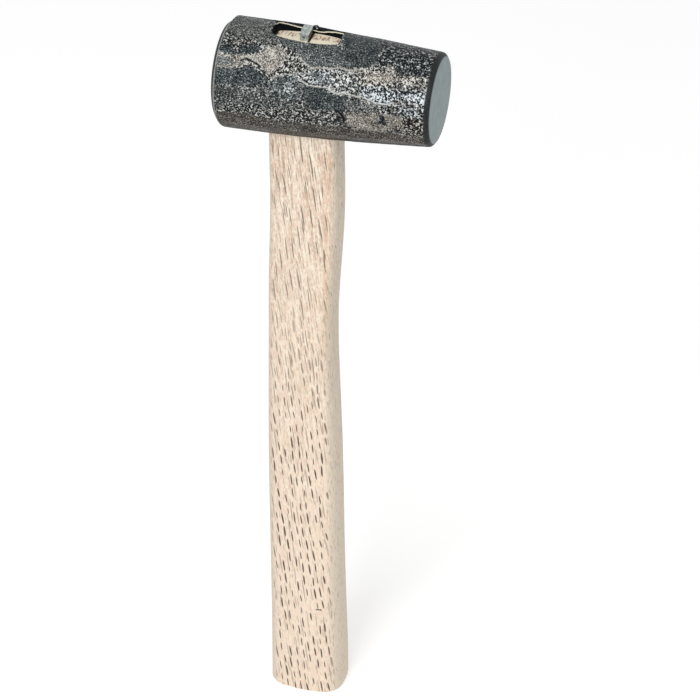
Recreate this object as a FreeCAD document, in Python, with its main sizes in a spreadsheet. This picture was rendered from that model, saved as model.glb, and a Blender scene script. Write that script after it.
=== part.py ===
"""Genno hammer: a forged barrel head, an oak handle through its eye, and a steel wedge.

The butt of the handle is at the origin and the handle stands up along Z. The head's axis
runs along X, with its long, slimmer end towards +X. Lengths are millimetres.
"""
import FreeCAD, Part
import enum
import math
import os

import Sketcher

SIZES = {
    # The head: a barrel about X, measured from the middle of its eye.
    "head_axis_height": 317.5,
    "short_reach": 33.7,
    "long_reach": 54.6,
    "barrel_radius": 22.5,
    # How far the barrel's radius has dropped near its middle, and at the rim of its long end.
    "barrel_middle": 14.0,
    "middle_drop": 1.05,
    "long_rim_drop": 3.65,
    "short_chamfer": 2.9,
    "long_chamfer": 1.7,
    # How far a hammered flat with a share of 1 is sunk.
    "flat_depth": 1.0,
    # The eye, an oval hole along Z, at its narrow waist.
    "eye_shift": 0.3,
    "eye_length": 27.0,
    "eye_width": 11.3,
    "eye_side_radius": 50.0,
    "eye_end_radius": 30.0,
    "eye_corner_radius": 1.8,
    # The tenon in the eye: the fit all round, and how far its end lies below the crown.
    "fit_gap": 0.05,
    "tenon_recess": 3.7,
    # The handle's sections, from just under the head down to the butt.
    "neck_width": 29.8,
    "neck_depth": 20.5,
    "neck_corner": 4.0,
    "neck_shift": 0.2,
    "collar_width": 29.9,
    "collar_depth": 20.8,
    "collar_corner": 4.3,
    "collar_shift": 0.1,
    "throat_width": 30.1,
    "throat_depth": 21.0,
    "throat_corner": 4.6,
    "throat_shift": 0.1,
    "hollow_width": 29.8,
    "hollow_depth": 21.2,
    "hollow_corner": 5.0,
    "hollow_shift": -0.8,
    "waist_width": 28.9,
    "waist_depth": 21.5,
    "waist_corner": 5.5,
    "waist_shift": -1.9,
    "palm_width": 31.2,
    "palm_depth": 23.5,
    "palm_corner": 7.0,
    "palm_shift": -1.6,
    "grip_width": 32.9,
    "grip_depth": 25.0,
    "grip_corner": 8.5,
    "grip_shift": -0.9,
    "heel_width": 34.0,
    "heel_depth": 26.5,
    "heel_corner": 9.0,
    "heel_shift": -0.2,
    "butt_width": 34.8,
    "butt_depth": 27.0,
    "butt_corner": 9.0,
    "butt_chamfer": 1.2,
    # The wedge, driven down into the tenon across the eye.
    "wedge_thickness": 3.4,
    "wedge_tip_thickness": 0.8,
    "wedge_width": 6.4,
    "wedge_sunk_length": 20.0,
    "wedge_high_side": 3.4,
    "wedge_low_side": 2.7,
    "wedge_shift": -0.9,
    "wedge_set_back": 1.95,
    # How far cuts run past what they cut.
    "overrun": 2.0,
    # The radius of each long face of the handle, as a share of its width, and that of
    # each narrow side, as a share of its depth.
    "face_crown_share": 1.6,
    "side_crown_share": 1.3,
    # How far below the barrel's axis the neck ends, as a share of the barrel's radius.
    "saddle_share": 0.8,
    # The height of each of the handle's sections, as a share of the way up to the neck.
    "heel_height_share": 0.11,
    "grip_height_share": 0.27,
    "palm_height_share": 0.5,
    "waist_height_share": 0.685,
    "hollow_height_share": 0.785,
    "throat_height_share": 0.86,
    "collar_height_share": 0.93,
    "neck_height_share": 1.0,
}

# How much the eye widens from its waist to each mouth, and the slope of the butt's edge.
EYE_FLARE_DEGREES = 1.2
BUTT_CHAMFER_DEGREES = 45.0

# The handle's sections above its butt.
SECTIONS = ["heel", "grip", "palm", "waist", "hollow", "throat", "collar", "neck"]

# The hammered flats: the angle of each from the crown towards -Y, then how far it lies
# inside the rim at the short end and at the long end, as shares of flat_depth. A flat
# with a negative share runs out of the barrel before it reaches that end.
FLAT_SHARES = [
    ("front_short_upper", 48.0, 1.0, -5.2),
    ("front_long_upper", 45.0, -2.6, -0.3),
    ("front_short_middle", 75.0, 0.7, -3.6),
    ("front_long_middle", 79.0, -4.0, 0.7),
    ("front_tip", 62.0, -5.1, 1.0),
    ("front_short_lower", 100.0, 0.9, -5.5),
    ("front_long_lower", 102.0, -2.4, -0.1),
    ("front_under", 127.0, -3.9, 0.4),
    ("back_short_upper", -42.0, 0.6, -4.0),
    ("back_long_upper", -50.0, -4.1, 0.5),
    ("back_short_middle", -72.0, 1.0, -4.8),
    ("back_long_middle", -80.0, -3.4, 0.6),
    ("back_short_lower", -100.0, 0.5, -3.4),
    ("back_long_lower", -108.0, -4.2, 0.9),
    ("back_under", -130.0, -4.0, 0.3),
]


class CurvePoint(enum.IntEnum):
    """The points of a line or an arc that a sketch can hold."""
    START = enum.auto()
    END = enum.auto()
    CENTRE = enum.auto()


START, END, CENTRE = CurvePoint
# A sketch numbers its own two axes down from -1, and the first of them starts at its origin.
X_AXIS = -1
Y_AXIS = X_AXIS - 1
ORIGIN = (X_AXIS, START)


def make_sheet(doc):
    """The driving sizes, one to a row."""
    sheet = doc.addObject("Spreadsheet::Sheet", "Sizes")
    for row, (alias, value) in enumerate(SIZES.items(), start=1):
        sheet.set(f"A{row}", alias)
        sheet.set(f"B{row}", str(value))
        sheet.setAlias(f"B{row}", alias)
    doc.recompute()


def terms(text):
    """Splits a sum of products, such as "2*reach - gap", into signed lists of factors."""
    sign = 1
    for word in text.split():
        if word in ("+", "-"):
            sign = 1 if word == "+" else -1
        else:
            yield sign, word.split("*")


def formula(text):
    """The sum as an expression in the sheet's cells."""
    parts = []
    for sign, factors in terms(text):
        cells = [f if f[0].isdigit() else f"Sizes.{f}" for f in factors]
        parts.append(("+ " if sign > 0 else "- ") + " * ".join(cells))
    return "0 " + " ".join(parts)


def amount(doc, text):
    """The sum as a number, for the first guess at a sketch's geometry."""
    total = 0.0
    for sign, factors in terms(text):
        cells = [float(f) if f[0].isdigit() else float(doc.Sizes.get(f)) for f in factors]
        total += sign * math.prod(cells)
    return total


def new_body(doc, label):
    body = doc.addObject("PartDesign::Body", label)
    body.Label = label
    return body


def new_sketch(body, name, role, offsets=None, turn=0.0):
    """A sketch on one of the body's own planes, moved by sums and turned about X."""
    sketch = body.newObject("Sketcher::SketchObject", name)
    plane = [f for f in body.Origin.OriginFeatures if f.Role == role][0]
    sketch.AttachmentSupport = [(plane, "")]
    sketch.MapMode = "FlatFace"
    rotation = FreeCAD.Rotation(FreeCAD.Vector(1, 0, 0), turn)
    sketch.AttachmentOffset = FreeCAD.Placement(FreeCAD.Vector(), rotation)
    for axis, text in (offsets or {}).items():
        sketch.setExpression(f"AttachmentOffset.Base.{axis}", formula(text))
    return sketch


def bind(sketch, name, constraint, expression):
    """Adds a dimension and ties it to the sheet."""
    index = sketch.addConstraint(constraint)
    sketch.renameConstraint(index, name)
    sketch.setExpression(f"Constraints.{name}", expression)


def bind_point(sketch, name, point, place, across, along):
    """Places a point by its two distances from the sketch's origin."""
    bind(sketch, f"{name}_across",
         Sketcher.Constraint("DistanceX", *ORIGIN, *point, place.x), formula(across))
    bind(sketch, f"{name}_along",
         Sketcher.Constraint("DistanceY", *ORIGIN, *point, place.y), formula(along))


def outline(doc, sketch, corners, crest=None):
    """A closed outline, counter-clockwise, with each corner placed by two sums.

    The side that leaves the corner named in crest is an arc through crest's own place.
    """
    places = [FreeCAD.Vector(amount(doc, x), amount(doc, y), 0) for _, x, y in corners]
    for number, (name, _, _) in enumerate(corners):
        following = places[(number + 1) % len(places)]
        if crest and crest[0] == name:
            top = FreeCAD.Vector(amount(doc, crest[1]), amount(doc, crest[2]), 0)
            sketch.addGeometry(Part.Arc(places[number], top, following))
            arc = number
        else:
            sketch.addGeometry(Part.LineSegment(places[number], following))
    for number in range(len(corners)):
        following = (number + 1) % len(corners)
        sketch.addConstraint(Sketcher.Constraint("Coincident", number, END, following, START))
    for number, (name, across, along) in enumerate(corners):
        bind_point(sketch, name, (number, START), places[number], across, along)
    if crest:
        point = sketch.addGeometry(Part.Point(top), True)
        bind_point(sketch, "crest", (point, START), top, crest[1], crest[2])
        sketch.addConstraint(Sketcher.Constraint("PointOnObject", point, START, arc))


def oval(doc, sketch, half_length, half_width, side_radius, end_radius, corner_radius):
    """A closed oval of eight tangent arcs about the sketch's origin, its length along X."""
    long_half, short_half = amount(doc, half_length), amount(doc, half_width)
    side, end, corner = (amount(doc, r) for r in (side_radius, end_radius, corner_radius))
    # The corner arc's centre is where circles about the side's and end's centres cross.
    side_centre = FreeCAD.Vector(0, short_half - side, 0)
    end_centre = FreeCAD.Vector(long_half - end, 0, 0)
    apart = end_centre - side_centre
    along = ((side - corner) ** 2 - (end - corner) ** 2 + apart.Length ** 2) / (2 * apart.Length)
    across = math.sqrt((side - corner) ** 2 - along ** 2)
    unit = apart / apart.Length
    normal = FreeCAD.Vector(unit.y, -unit.x, 0)
    corner_centre = side_centre + unit * along + normal * across
    side_angle = math.degrees(math.atan2(*(corner_centre - side_centre)[1::-1]))
    end_angle = math.degrees(math.atan2(*(corner_centre - end_centre)[1::-1]))
    arcs = []
    for flip_x, flip_y, centre, radius, low, high in (
        (1, 1, end_centre, end, -end_angle, end_angle),
        (1, 1, corner_centre, corner, end_angle, side_angle),
        (1, 1, side_centre, side, side_angle, 180 - side_angle),
        (-1, 1, corner_centre, corner, 180 - side_angle, 180 - end_angle),
        (-1, -1, end_centre, end, 180 - end_angle, 180 + end_angle),
        (-1, -1, corner_centre, corner, 180 + end_angle, 180 + side_angle),
        (-1, -1, side_centre, side, 180 + side_angle, 360 - side_angle),
        (1, -1, corner_centre, corner, 360 - side_angle, 360 - end_angle),
    ):
        middle = FreeCAD.Vector(centre.x * flip_x, centre.y * flip_y, 0)
        circle = Part.Circle(middle, FreeCAD.Vector(0, 0, 1), radius)
        arcs.append(Part.ArcOfCircle(circle, math.radians(low), math.radians(high)))
    sketch.addGeometry(arcs)
    for number in range(len(arcs)):
        following = (number + 1) % len(arcs)
        sketch.addConstraint(Sketcher.Constraint("Tangent", number, END, following, START))
    for end_arc in (0, 4):
        sketch.addConstraint(Sketcher.Constraint("PointOnObject", end_arc, CENTRE, X_AXIS))
    for side_arc in (2, 6):
        sketch.addConstraint(Sketcher.Constraint("PointOnObject", side_arc, CENTRE, Y_AXIS))
    sketch.addConstraint(Sketcher.Constraint("Equal", 0, 4))
    sketch.addConstraint(Sketcher.Constraint("Equal", 2, 6))
    for corner_arc in (3, 5, 7):
        sketch.addConstraint(Sketcher.Constraint("Equal", 1, corner_arc))
    bind(sketch, "end_radius", Sketcher.Constraint("Radius", 0, end), formula(end_radius))
    bind(sketch, "side_radius", Sketcher.Constraint("Radius", 2, side), formula(side_radius))
    bind(sketch, "corner_radius", Sketcher.Constraint("Radius", 1, corner), formula(corner_radius))
    end_place = f"({formula(half_length)}) - ({formula(end_radius)})"
    side_place = f"({formula(half_width)}) - ({formula(side_radius)})"
    bind(sketch, "right_end",
         Sketcher.Constraint("DistanceX", *ORIGIN, 0, CENTRE, end_centre.x), end_place)
    bind(sketch, "left_end",
         Sketcher.Constraint("DistanceX", 4, CENTRE, *ORIGIN, end_centre.x), end_place)
    bind(sketch, "far_side",
         Sketcher.Constraint("DistanceY", *ORIGIN, 2, CENTRE, side_centre.y), side_place)
    bind(sketch, "near_side",
         Sketcher.Constraint("DistanceY", 6, CENTRE, *ORIGIN, side_centre.y), side_place)


def barrel_outline(doc, sketch, gap):
    """Half the barrel's lengthwise section above its axis, grown by gap."""
    outline(doc, sketch, [
        ("short_axis", f"- short_reach - {gap}", "0"),
        ("long_axis", f"long_reach + {gap}", "0"),
        ("long_face", f"long_reach + {gap}",
         f"barrel_radius - long_rim_drop - long_chamfer + {gap}"),
        ("long_rim", f"long_reach - long_chamfer + {gap}",
         f"barrel_radius - long_rim_drop + {gap}"),
        ("short_rim", f"short_chamfer - short_reach - {gap}", f"barrel_radius + {gap}"),
        ("short_face", f"- short_reach - {gap}", f"barrel_radius - short_chamfer + {gap}"),
    ], crest=("long_rim", "barrel_middle", f"barrel_radius - middle_drop + {gap}"))


def two_sided(feature, up, down):
    """Runs a pad or pocket both ways from its sketch."""
    feature.SideType = "Two sides"
    feature.setExpression("Length", formula(up))
    feature.setExpression("Length2", formula(down))


def make_head(doc):
    """The barrel, turned about its axis, with the eye through it and its hammered flats."""
    head = new_body(doc, "head")
    head.setExpression("Placement.Base.z", formula("head_axis_height"))

    profile = new_sketch(head, "barrel_profile", "XZ_Plane")
    barrel_outline(doc, profile, "0")
    barrel = head.newObject("PartDesign::Revolution", "barrel")
    barrel.Profile = profile
    barrel.ReferenceAxis = (profile, ["H_Axis"])
    doc.recompute()

    for name, angle, short_share, long_share in FLAT_SHARES:
        flat = new_sketch(head, f"{name}_line", "XZ_Plane", turn=angle)
        short_x = "- short_reach - overrun"
        long_x = "long_reach + overrun"
        short_sink = f"{'+' if short_share < 0 else '-'} {abs(short_share)}*flat_depth"
        long_sink = f"{'+' if long_share < 0 else '-'} {abs(long_share)}*flat_depth"
        outline(doc, flat, [
            ("short_end", short_x, f"barrel_radius {short_sink}"),
            ("long_end", long_x, f"barrel_radius - long_rim_drop {long_sink}"),
            ("long_clear", long_x, "2*barrel_radius"),
            ("short_clear", short_x, "2*barrel_radius"),
        ])
        cut = head.newObject("PartDesign::Pocket", f"{name}_flat")
        cut.Profile = flat
        cut.SideType = "Symmetric"
        cut.setExpression("Length", formula("4*barrel_radius"))

    eye = new_sketch(head, "eye_waist", "XY_Plane", {"x": "eye_shift"})
    oval(doc, eye, "0.5*eye_length", "0.5*eye_width",
         "eye_side_radius", "eye_end_radius", "eye_corner_radius")
    hole = head.newObject("PartDesign::Pocket", "eye")
    hole.Profile = eye
    two_sided(hole, "barrel_radius + overrun", "barrel_radius + overrun")
    hole.TaperAngle = EYE_FLARE_DEGREES
    hole.TaperAngle2 = EYE_FLARE_DEGREES
    return head


def handle_section(doc, handle, name, offsets):
    """One of the ovals that the grip is lofted through."""
    section = new_sketch(handle, f"{name}_section", "XY_Plane", offsets)
    oval(doc, section, f"0.5*{name}_width", f"0.5*{name}_depth",
         f"face_crown_share*{name}_width", f"side_crown_share*{name}_depth", f"{name}_corner")
    return section


def make_handle(doc):
    """The grip, its saddle under the head, the tenon in the eye and the wedge's split."""
    handle = new_body(doc, "handle")
    butt_section = handle_section(doc, handle, "butt", {"z": "butt_chamfer"})
    sections = []
    for name in SECTIONS:
        share = f"{name}_height_share"
        offsets = {
            "x": f"{name}_shift",
            "z": f"{share}*head_axis_height - {share}*saddle_share*barrel_radius"
                 f" + butt_chamfer - {share}*butt_chamfer",
        }
        sections.append(handle_section(doc, handle, name, offsets))
    grip = handle.newObject("PartDesign::AdditiveLoft", "grip")
    grip.Profile = butt_section
    grip.Sections = sections
    doc.recompute()

    butt = handle.newObject("PartDesign::Pad", "butt_end")
    butt.Profile = butt_section
    butt.Reversed = True
    butt.setExpression("Length", formula("butt_chamfer"))
    butt.TaperAngle = -BUTT_CHAMFER_DEGREES
    doc.recompute()

    barrel = new_sketch(handle, "saddle_profile", "XZ_Plane", {"y": "head_axis_height"})
    barrel_outline(doc, barrel, "fit_gap")
    saddle = handle.newObject("PartDesign::Groove", "saddle")
    saddle.Profile = barrel
    saddle.ReferenceAxis = (barrel, ["H_Axis"])
    doc.recompute()

    waist = new_sketch(handle, "tenon_waist", "XY_Plane",
                       {"x": "eye_shift", "z": "head_axis_height"})
    oval(doc, waist, "0.5*eye_length - fit_gap", "0.5*eye_width - fit_gap",
         "eye_side_radius - fit_gap", "eye_end_radius - fit_gap", "eye_corner_radius - fit_gap")
    tenon = handle.newObject("PartDesign::Pad", "tenon")
    tenon.Profile = waist
    two_sided(tenon, "barrel_radius - tenon_recess", "barrel_radius + overrun")
    tenon.TaperAngle = EYE_FLARE_DEGREES
    tenon.TaperAngle2 = EYE_FLARE_DEGREES
    doc.recompute()

    split = new_sketch(handle, "split_profile", "XZ_Plane", {
        "x": "eye_shift + wedge_shift",
        "y": "head_axis_height + barrel_radius - tenon_recess",
        "z": "- wedge_set_back",
    })
    wedge_outline(doc, split, "fit_gap")
    slot = handle.newObject("PartDesign::Pocket", "split")
    slot.Profile = split
    slot.SideType = "Symmetric"
    slot.setExpression("Length", formula("wedge_width + 2*fit_gap"))
    return handle


def wedge_outline(doc, sketch, gap):
    """The wedge from its side, with Y up from the end of the tenon, grown by gap."""
    outline(doc, sketch, [
        ("tip_left", f"- 0.5*wedge_tip_thickness - {gap}",
         f"- wedge_sunk_length - {gap}"),
        ("tip_right", f"0.5*wedge_tip_thickness + {gap}",
         f"- wedge_sunk_length - {gap}"),
        ("low_side", f"0.5*wedge_thickness + {gap}", f"wedge_low_side + {gap}"),
        ("high_side", f"- 0.5*wedge_thickness - {gap}", f"wedge_high_side + {gap}"),
    ])


def make_wedge(doc):
    """The steel wedge, thick across X and sloping at its battered top."""
    wedge = new_body(doc, "wedge")
    wedge.setExpression("Placement.Base.x", formula("eye_shift + wedge_shift"))
    wedge.setExpression("Placement.Base.y", formula("wedge_set_back"))
    wedge.setExpression("Placement.Base.z",
                        formula("head_axis_height + barrel_radius - tenon_recess"))
    profile = new_sketch(wedge, "wedge_profile", "XZ_Plane")
    wedge_outline(doc, profile, "0")
    blade = wedge.newObject("PartDesign::Pad", "blade")
    blade.Profile = profile
    blade.SideType = "Symmetric"
    blade.setExpression("Length", formula("wedge_width"))
    return wedge


def check(doc, parts):
    """Stops before anything is written if a feature failed or a piece isn't sound."""
    for item in doc.Objects:
        if "Invalid" in item.State or "Error" in item.State:
            raise RuntimeError(f"{item.Label} failed: {item.State}")
    for part in parts:
        if part.Shape.isNull() or not part.Shape.isValid() or len(part.Shape.Solids) != 1:
            raise RuntimeError(f"{part.Label} isn't one sound solid")


def main():
    doc = FreeCAD.newDocument("genno_hammer")
    make_sheet(doc)
    parts = [make_head(doc), make_handle(doc), make_wedge(doc)]
    doc.recompute()
    check(doc, parts)
    os.makedirs("parts", exist_ok=True)
    for part in parts:
        part.Shape.exportStep(f"parts/{part.Label}.step")
        box = part.Shape.BoundBox
        print(f"{part.Label}: {part.Shape.Volume:.0f} mm3, x {box.XMin:.2f} to {box.XMax:.2f},"
              f" y {box.YMin:.2f} to {box.YMax:.2f}, z {box.ZMin:.2f} to {box.ZMax:.2f}")


main()
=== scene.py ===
"""A genno hammer: a forged two-faced head wedged on an oak handle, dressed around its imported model."""
import math

import bmesh
import bpy
import numpy as np
from mathutils import Matrix, Vector, noise


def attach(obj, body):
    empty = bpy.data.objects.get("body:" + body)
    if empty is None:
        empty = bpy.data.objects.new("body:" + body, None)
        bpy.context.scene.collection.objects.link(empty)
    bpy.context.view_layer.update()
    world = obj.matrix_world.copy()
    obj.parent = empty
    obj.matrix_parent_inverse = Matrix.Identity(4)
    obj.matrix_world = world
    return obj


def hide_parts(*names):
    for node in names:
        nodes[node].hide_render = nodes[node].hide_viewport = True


MM = 0.001

# The camera, as the photograph was taken: how far round the object and above it in degrees, how far
# off and where it looks in mm, its roll in degrees, and its lens and sensor in mm.
CAMERA_AROUND = 15.27
CAMERA_ABOVE = 35.34
CAMERA_DISTANCE = 1063.6
CAMERA_TARGET = (18.52, 0.0, 189.92)
CAMERA_ROLL = 0.31
CAMERA_LENS = 128.26
SENSOR = 36.0

# The head, in mm from the middle of its axis, as in the CAD model.
AXIS_HEIGHT = 317.5
SHORT_REACH = 33.7
LONG_REACH = 54.6
SHORT_RIM = 22.5
LONG_RIM = 18.85
MIDDLE = (14.0, 21.45)
SHORT_CHAMFER = 2.9
LONG_CHAMFER = 1.7
EYE_SHIFT = 0.3
EYE_HALF = (13.5, 5.65)
EYE_RADII = (30.0, 50.0)
EYE_CORNER = 1.8
EYE_FLARE = math.tan(math.radians(1.2))

ARC_PER_DEGREE = math.radians(1.0) * 21.5


# Small helpers

def circle_through(p, q, r):
    """The centre and radius of the circle through three points."""
    ax, ay = p
    bx, by = q
    cx, cy = r
    d = 2 * (ax * (by - cy) + bx * (cy - ay) + cx * (ay - by))
    a_square = ax * ax + ay * ay
    b_square = bx * bx + by * by
    c_square = cx * cx + cy * cy
    ux = (a_square * (by - cy) + b_square * (cy - ay) + c_square * (ay - by)) / d
    uy = (a_square * (cx - bx) + b_square * (ax - cx) + c_square * (bx - ax)) / d
    return ux, uy, math.hypot(ax - ux, ay - uy)


def smoothstep(low, high, value):
    """A smooth rise from 0 at low to 1 at high."""
    t = np.clip((value - low) / (high - low), 0.0, 1.0)
    return t * t * (3.0 - 2.0 * t)


def soft_min(a, b, width):
    """The lower of two heights, with the crease between them rounded over width."""
    h = np.clip(0.5 + 0.5 * (b - a) / width, 0.0, 1.0)
    return b + (a - b) * h - width * h * (1.0 - h)


def wander(points, size, seed, octaves):
    """Smooth noise of about -1 to 1 at points, with waves about size mm long."""
    shift = Vector((seed * 17.3, seed * 5.1, seed * 9.7))
    return np.array([noise.fractal(Vector(p) / size + shift, 1.0, 2.0, octaves) for p in points])


def from_segment(x, y, start_x, start_y, dx, dy):
    """How far each point lies from a straight piece of line that runs by dx, dy."""
    t = np.clip(((x - start_x) * dx + (y - start_y) * dy) / (dx * dx + dy * dy), 0, 1)
    return np.hypot(x - start_x - t * dx, y - start_y - t * dy)


def inside(polygon, x, y):
    """How far inside a polygon each point lies, negative outside."""
    px, py = np.array(polygon, float).T
    best = np.full(x.shape, 1e9)
    odd = np.zeros(x.shape, bool)
    for i in range(len(px)):
        ax, ay, bx, by = px[i - 1], py[i - 1], px[i], py[i]
        dx, dy = bx - ax, by - ay
        best = np.minimum(best, from_segment(x, y, ax, ay, dx, dy))
        crosses = (ay > y) != (by > y)
        where = ax + (y - ay) * dx / (dy if dy else 1e-9)
        odd ^= crosses & (x < where)
    return np.where(odd, best, -best)


# The scene's base

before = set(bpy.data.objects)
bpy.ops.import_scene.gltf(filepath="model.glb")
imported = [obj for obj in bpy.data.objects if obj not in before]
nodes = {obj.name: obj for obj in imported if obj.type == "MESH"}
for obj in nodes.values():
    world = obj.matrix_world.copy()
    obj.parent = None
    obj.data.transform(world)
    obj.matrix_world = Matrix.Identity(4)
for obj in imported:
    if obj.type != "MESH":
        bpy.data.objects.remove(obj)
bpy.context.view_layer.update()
scene = bpy.context.scene


def link(obj):
    scene.collection.objects.link(obj)
    return obj


def mesh_object(name, vertices, faces):
    mesh = bpy.data.meshes.new(name)
    mesh.from_pydata([tuple(v) for v in vertices], [], faces)
    mesh.update()
    return link(bpy.data.objects.new(name, mesh))


def tube_faces(rings, around, first=0):
    """The faces between rings of vertices that follow one another from the vertex called first."""
    found = []
    for ring in range(rings - 1):
        below = first + ring * around
        above = below + around
        for i in range(around):
            after = (i + 1) % around
            found.append((below + i, below + after, above + after, above + i))
    return found


def shown_mesh(obj):
    """Gives an object the mesh that its modifiers make, and returns that mesh."""
    bpy.context.view_layer.update()
    shown = obj.evaluated_get(bpy.context.evaluated_depsgraph_get())
    mesh = bpy.data.meshes.new_from_object(shown)
    obj.modifiers.clear()
    obj.data = mesh
    return mesh


# Material helpers

class Nodes:
    """The node tree of a material or a world, built line by line."""

    def __init__(self, owner):
        self.owner = owner
        owner.use_nodes = True
        self.tree = owner.node_tree
        self.tree.nodes.clear()

    def add(self, kind, inputs=None, **settings):
        node = self.tree.nodes.new(kind)
        for key, value in settings.items():
            setattr(node, key, value)
        for key, value in (inputs or {}).items():
            self.set(node.inputs[key], value)
        return node

    def set(self, socket, value):
        if isinstance(value, bpy.types.NodeSocket):
            self.tree.links.new(value, socket)
        else:
            socket.default_value = value

    def math(self, operation, a, b=0.0, c=0.0, clamp=False):
        node = self.add("ShaderNodeMath", {0: a, 1: b, 2: c}, operation=operation, use_clamp=clamp)
        return node.outputs[0]

    def ramp(self, value, stops):
        node = self.add("ShaderNodeValToRGB", {"Fac": value})
        elements = node.color_ramp.elements
        while len(elements) < len(stops):
            elements.new(0.5)
        for element, (place, colour) in zip(elements, stops):
            element.position = place
            shade = colour if isinstance(colour, tuple) else (colour, colour, colour)
            element.color = (*shade, 1.0)
        return node.outputs["Color"]

    def mix(self, factor, a, b):
        node = self.add("ShaderNodeMix", data_type="RGBA")
        self.set(node.inputs["Factor"], factor)
        for socket, value in ((node.inputs[6], a), (node.inputs[7], b)):
            self.set(socket, (*value, 1.0) if isinstance(value, tuple) else value)
        return node.outputs[2]

    def noise(self, vector, scale, detail, roughness=0.5):
        inputs = {"Vector": vector, "Scale": scale, "Detail": detail, "Roughness": roughness}
        return self.add("ShaderNodeTexNoise", inputs).outputs["Fac"]

    def rise(self, value, start, end, top=1.0):
        """A straight rise from 0 where the value is start to top where it is end."""
        inputs = {"Value": value, "From Min": start, "From Max": end, "To Max": top}
        return self.add("ShaderNodeMapRange", inputs).outputs[0]

    def finish(self, colour, roughness, normal, specular, metallic=0.0):
        shader = self.add("ShaderNodeBsdfPrincipled", {"Base Color": colour, "Roughness": roughness,
                                                       "Metallic": metallic, "Specular IOR Level": specular,
                                                       "Normal": normal})
        self.add("ShaderNodeOutputMaterial", {"Surface": shader.outputs[0]})
        return self.owner


def object_coordinates(n, turn=(0.0, 0.0, 0.0), scale=(1.0, 1.0, 1.0)):
    """The object's own coordinates in metres, turned and then stretched."""
    place = n.add("ShaderNodeTexCoord").outputs["Object"]
    spin = n.add("ShaderNodeMapping", {"Vector": place, "Rotation": turn})
    return n.add("ShaderNodeMapping", {"Vector": spin.outputs[0], "Scale": scale}).outputs[0]


def own_axes(n):
    """The object's own x, y and z in metres."""
    place = n.add("ShaderNodeTexCoord").outputs["Object"]
    return n.add("ShaderNodeSeparateXYZ", {"Vector": place}).outputs


def near_box(n, axes, low, high, soft):
    """A mask that is 1 inside a box and fades out over soft, all in mm."""
    mask = 1.0
    for axis, a, b in zip(axes, low, high):
        for start, end in ((a - soft, a), (b + soft, b)):
            mask = n.math("MINIMUM", mask, n.rise(axis, start * MM, end * MM))
    return mask


# The head

# The hammered flats: place along the barrel in mm, angle from the crown towards the front in
# degrees, depth in mm, and the slope along the barrel and round it in degrees.
FLATS = [
    (-10.0, 45.0, 0.50, 1.2, -2.0),
    (-30.0, 49.0, 0.45, -1.0, 0.0),
    (16.0, 24.0, 0.40, 1.0, 2.0),
    (36.0, 27.0, 0.35, 0.0, 0.0),
    (38.0, 50.0, 0.40, 0.0, 3.0),
    (6.0, 52.0, 0.30, 2.0, 2.0),
    (-22.0, 70.0, 0.40, 1.0, 0.0),
    (14.0, 78.0, 0.55, 0.0, -3.0),
    (40.0, 70.0, 0.55, -0.6, -3.0),
    (-12.0, 86.0, 0.45, -1.0, 2.0),
    (32.0, 95.0, 0.50, 0.6, 0.0),
    (-20.0, 104.0, 0.45, 1.5, 0.0),
    (14.0, 112.0, 0.45, -1.0, 0.0),
    (44.0, 118.0, 0.50, 0.0, 0.0),
    (-8.0, 132.0, 0.35, 0.0, 0.0),
    (-24.0, 20.0, 0.30, -1.0, 0.0),
    (10.0, 138.0, 0.40, 1.0, 0.0),
    (30.0, 165.0, 0.30, 0.0, 0.0),
    (-20.0, -56.0, 0.45, 1.0, 0.0),
    (30.0, -58.0, 0.45, -0.6, 0.0),
    (-6.0, -66.0, 0.50, -1.2, 0.0),
    (36.0, -76.0, 0.55, 0.6, 0.0),
    (10.0, -90.0, 0.45, 0.6, 0.0),
    (-22.0, -96.0, 0.50, 1.4, 0.0),
    (40.0, -106.0, 0.50, 0.0, 0.0),
    (-4.0, -118.0, 0.45, -1.0, 0.0),
    (20.0, -136.0, 0.50, 0.8, 0.0),
    (-18.0, -150.0, 0.35, 0.0, 0.0),
    (38.0, -160.0, 0.35, 0.0, 0.0),
]
CREASE = 0.10

# A radius that stands for no limit, and how far the middle of the long face stands out.
NO_LIMIT = 99.0
FACE_PROUD = 0.275

crest_x, crest_r, crest_radius = circle_through(
    (SHORT_CHAMFER - SHORT_REACH, SHORT_RIM), MIDDLE, (LONG_REACH - LONG_CHAMFER, LONG_RIM))


def barrel_radius(x):
    """The barrel's own radius, with no chamfer."""
    return crest_r + np.sqrt(crest_radius ** 2 - (x - crest_x) ** 2)


def eye_distance(x, y):
    """How far a point lies outside the eye's waist, negative inside."""
    x = np.abs(x - EYE_SHIFT)
    y = np.abs(y)
    end = np.hypot(x + EYE_RADII[0] - EYE_HALF[0], y) - EYE_RADII[0] + EYE_CORNER
    side = np.hypot(x, y + EYE_RADII[1] - EYE_HALF[1]) - EYE_RADII[1] + EYE_CORNER
    outside = np.hypot(np.maximum(end, 0.0), np.maximum(side, 0.0))
    return outside + np.minimum(np.maximum(end, side), 0.0) - EYE_CORNER


# The upper mouth flares out to sharp far corners, its near corner at the short end is left full,
# and its far wall is pushed in a little beside the wedge.
WOOD_END = 18.85
MOUTH_RISE = 1.2
CORNER_LINE = ((-13.65, -2.1), (-0.693, -0.721))
FAR_WALL = 6.0
FAR_WALL_SLANT = 0.028
PUSHED_IN = 0.9


def beside_wedge(x):
    """1 where the eye's far wall is pushed in beside the wedge, fading out along it."""
    return np.exp(-((x - 4.0) / 3.5) ** 2)


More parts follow.
